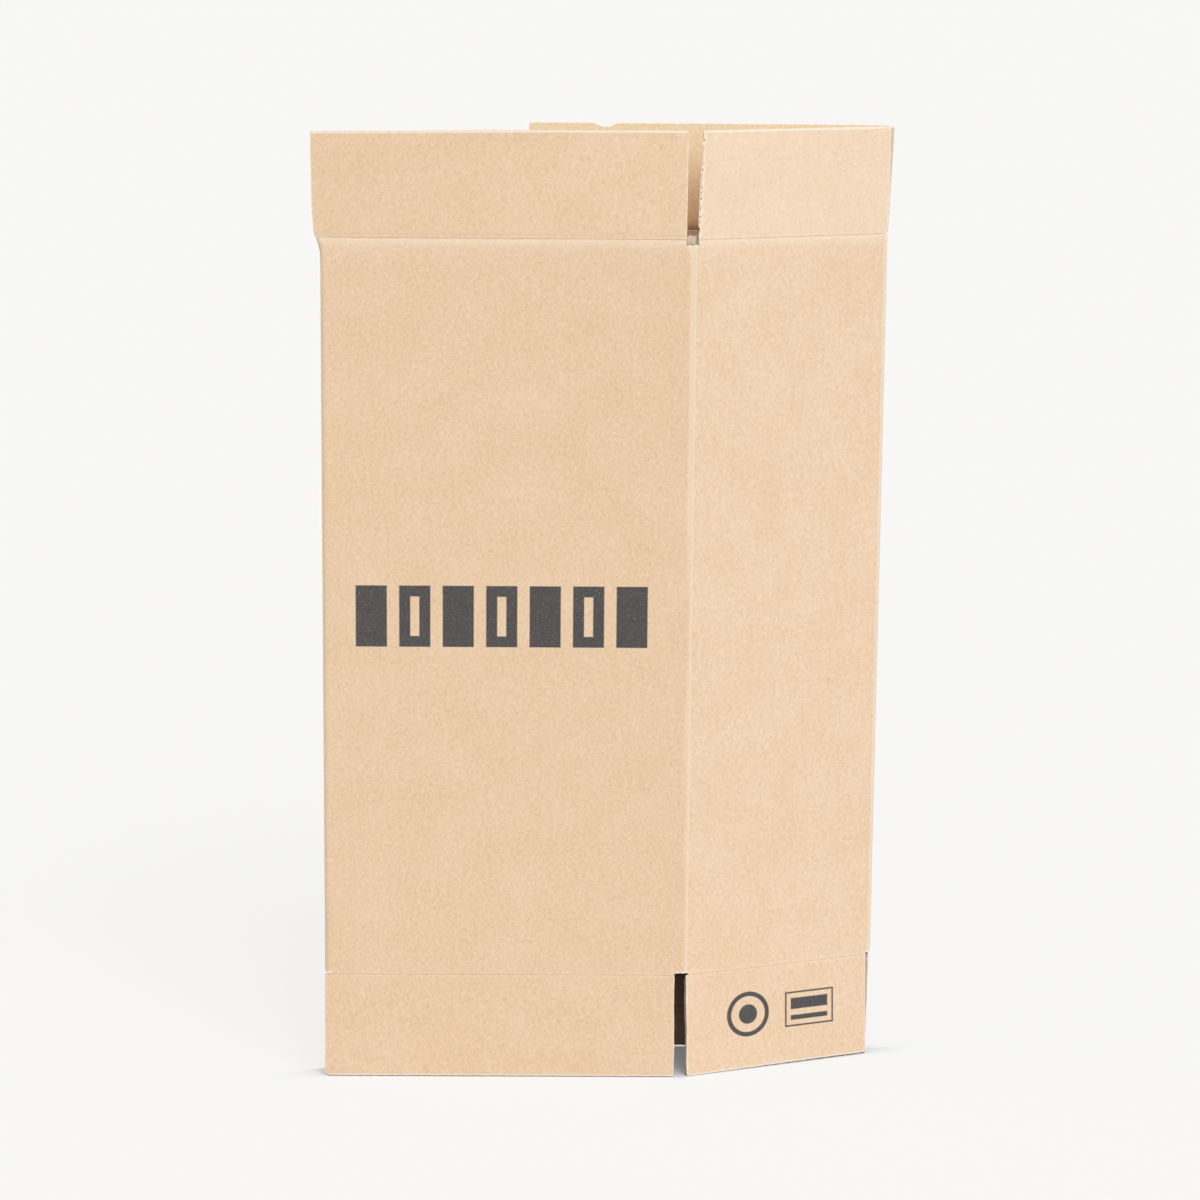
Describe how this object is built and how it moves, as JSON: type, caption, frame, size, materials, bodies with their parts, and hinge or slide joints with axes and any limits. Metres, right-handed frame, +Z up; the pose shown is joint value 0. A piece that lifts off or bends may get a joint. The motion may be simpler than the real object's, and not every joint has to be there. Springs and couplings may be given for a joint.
{
  "type": "wine shipping box",
  "caption": "Tall slotted corrugated shipping box, racked to a lean parallelogram, open at both ends, with hinged top and bottom flaps.",
  "frame": {"origin": "middle of the footprint of the whole box, on the floor it stands on", "axes": "+X along the front panel to the viewer's right, +Y to the back, +Z up"},
  "size_m": [0.2918, 0.0774, 0.4881],
  "materials": {
    "brown_board": "matte brown corrugated board"
  },
  "bodies": {
    "tube": {"sleeve": "brown_board"},
    "top_front": {"top_front_flap": "brown_board"},
    "top_right": {"top_right_flap": "brown_board"},
    "top_rear": {"top_rear_flap": "brown_board"},
    "top_left": {"top_left_flap": "brown_board"},
    "bottom_front": {"bottom_front_flap": "brown_board"},
    "bottom_right": {"bottom_right_flap": "brown_board"},
    "bottom_rear": {"bottom_rear_flap": "brown_board"},
    "bottom_left": {"bottom_left_flap": "brown_board"}
  },
  "joints": [
    {"name": "top_front_crease", "type": "hinge", "parent": "tube", "child": "top_front", "pos_m": [-0.04745, -0.0287, 0.434], "axis": [1, 0, 0], "range_deg": [-5.5, 162]},
    {"name": "top_right_crease", "type": "hinge", "parent": "tube", "child": "top_right", "pos_m": [0.09327, -0.00944, 0.434], "axis": [0.9298, 0.3681, 0], "range_deg": [-5, 165]},
    {"name": "top_rear_crease", "type": "hinge", "parent": "tube", "child": "top_rear", "pos_m": [0.04878, 0.0154, 0.434], "axis": [-1, 0, 0], "range_deg": [-5, 165]},
    {"name": "top_left_crease", "type": "hinge", "parent": "tube", "child": "top_left", "pos_m": [-0.09237, -0.00242, 0.434], "axis": [-0.9401, -0.341, 0], "range_deg": [-28, 142]},
    {"name": "bottom_front_crease", "type": "hinge", "parent": "tube", "child": "bottom_front", "pos_m": [-0.04745, -0.0287, 0.054], "axis": [-1, 0, 0], "range_deg": [-3.8, 166]},
    {"name": "bottom_right_crease", "type": "hinge", "parent": "tube", "child": "bottom_right", "pos_m": [0.09327, -0.00944, 0.054], "axis": [-0.9298, -0.3681, 0], "range_deg": [-2.9, 167]},
    {"name": "bottom_rear_crease", "type": "hinge", "parent": "tube", "child": "bottom_rear", "pos_m": [0.04878, 0.0154, 0.054], "axis": [1, 0, 0], "range_deg": [-7.5, 162]},
    {"name": "bottom_left_crease", "type": "hinge", "parent": "tube", "child": "bottom_left", "pos_m": [-0.09237, -0.00242, 0.054], "axis": [0.9401, 0.341, 0], "range_deg": [-3, 167]}
  ]
}
